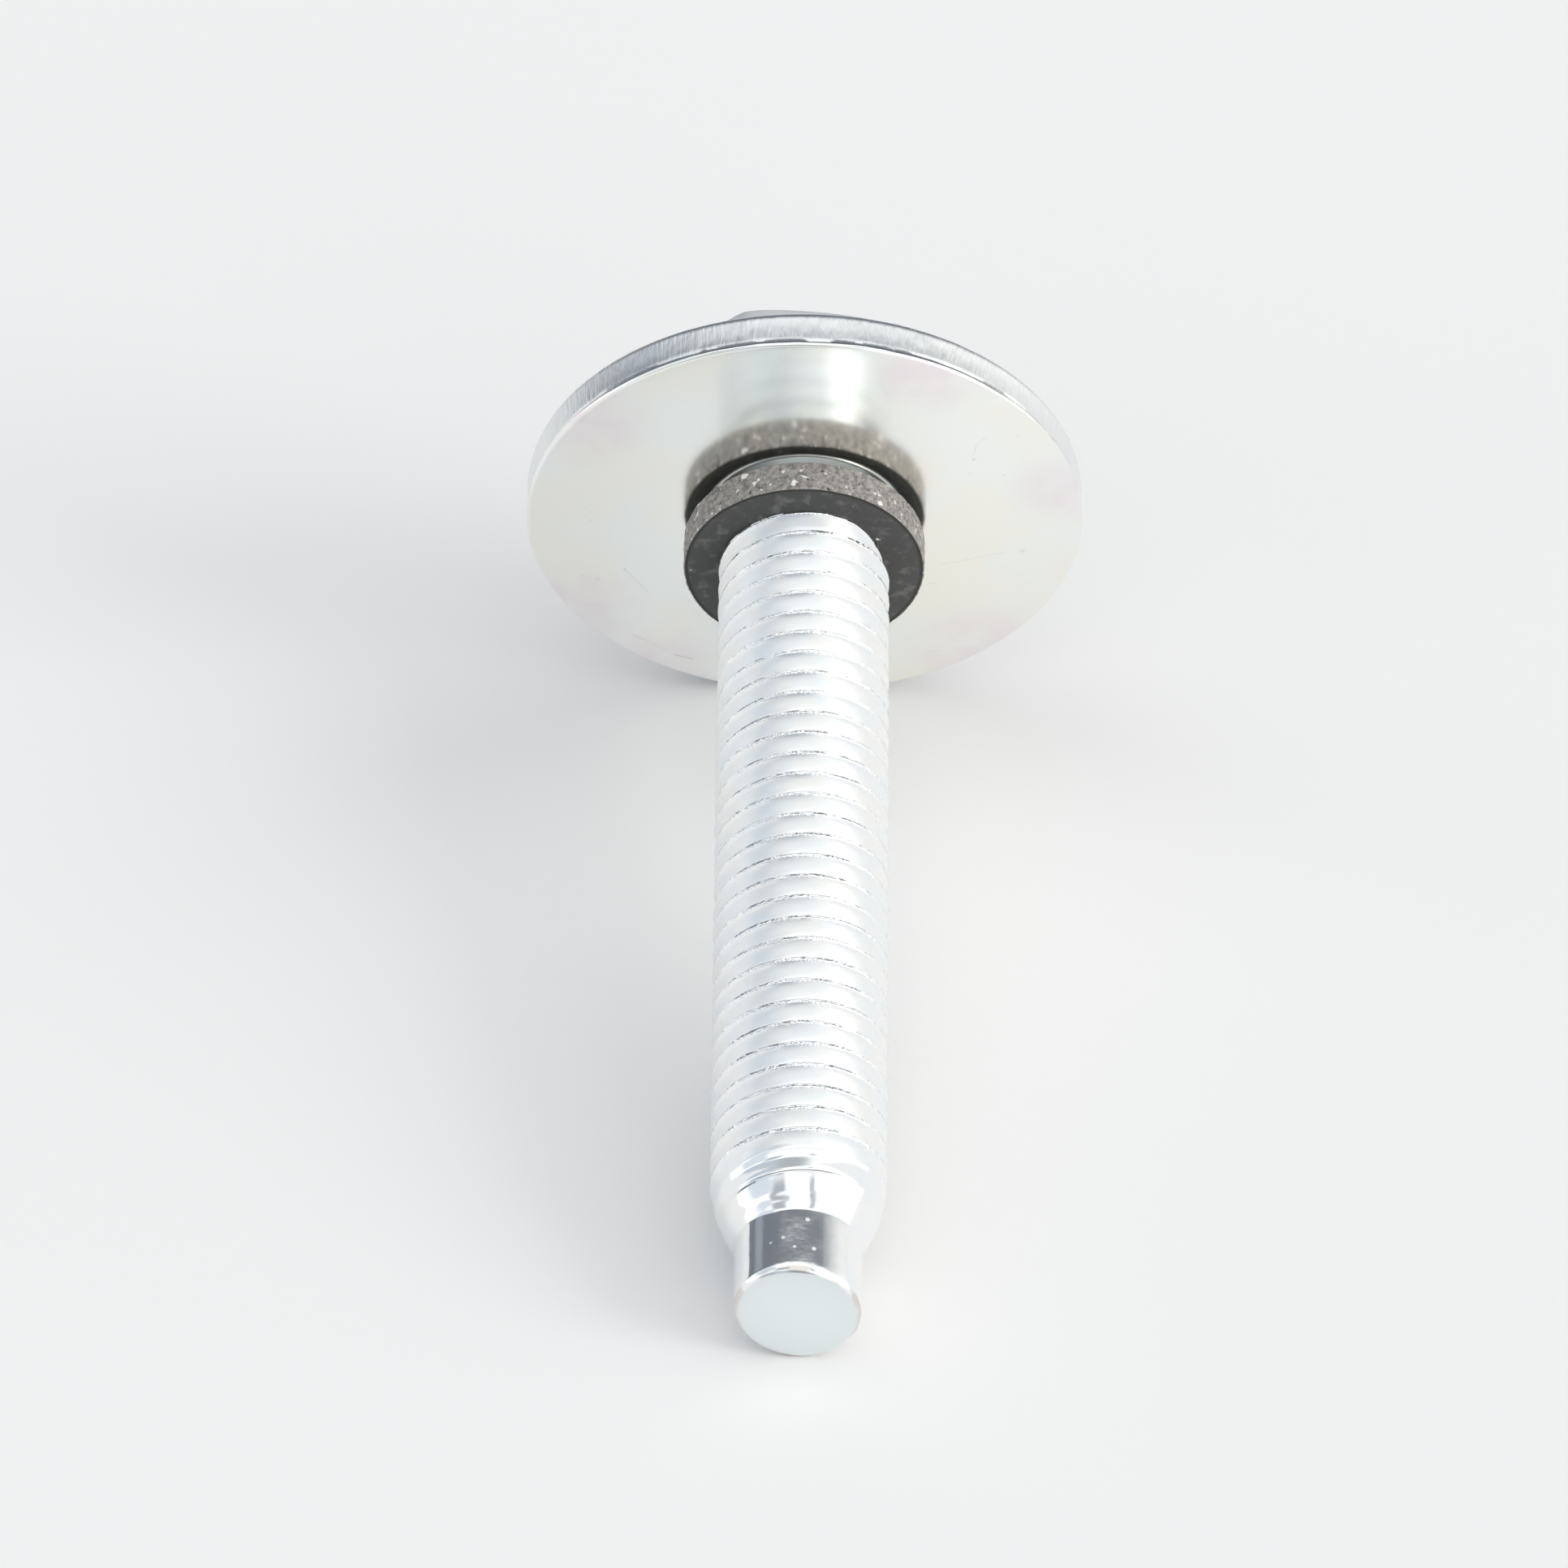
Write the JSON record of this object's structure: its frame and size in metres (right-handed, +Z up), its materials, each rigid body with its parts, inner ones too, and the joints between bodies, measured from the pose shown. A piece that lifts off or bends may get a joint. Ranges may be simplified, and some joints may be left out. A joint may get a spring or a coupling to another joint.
{
  "type": "hexagon head screw with captive washer",
  "caption": "Zinc-plated hexagon-head machine screw with a dog point, a wide loose washer and a dark soft ring that keeps the washer on the shank.",
  "frame": {"origin": "on the surface that the screw lies on, below the middle of its bounding box", "axes": "+Z up; the tip points along -Y and down, at the angle at which the screw rests on the washer's rim and the dog point; +X to the right as seen from the tip"},
  "size_m": [0.032, 0.0671, 0.0315],
  "materials": {
    "zinc": "bright zinc plate on steel, glossy with a faint blue cast",
    "washer_zinc": "bright zinc plate on steel, satin gloss with faint yellow and violet tints",
    "fibre": "matt charcoal die-cut fibre and rubber sheet, brown-grey speckled at the cut edge"
  },
  "bodies": {
    "screw": {"screw": "zinc", "retaining_ring": "fibre"},
    "washer": {"washer": "washer_zinc"}
  },
  "joints": [
    {"name": "washer_spin", "type": "hinge", "parent": "screw", "child": "washer", "pos_m": [0, 0.02373, 0.01577], "axis": [0, -0.9695, -0.245], "continuous": true}
  ]
}
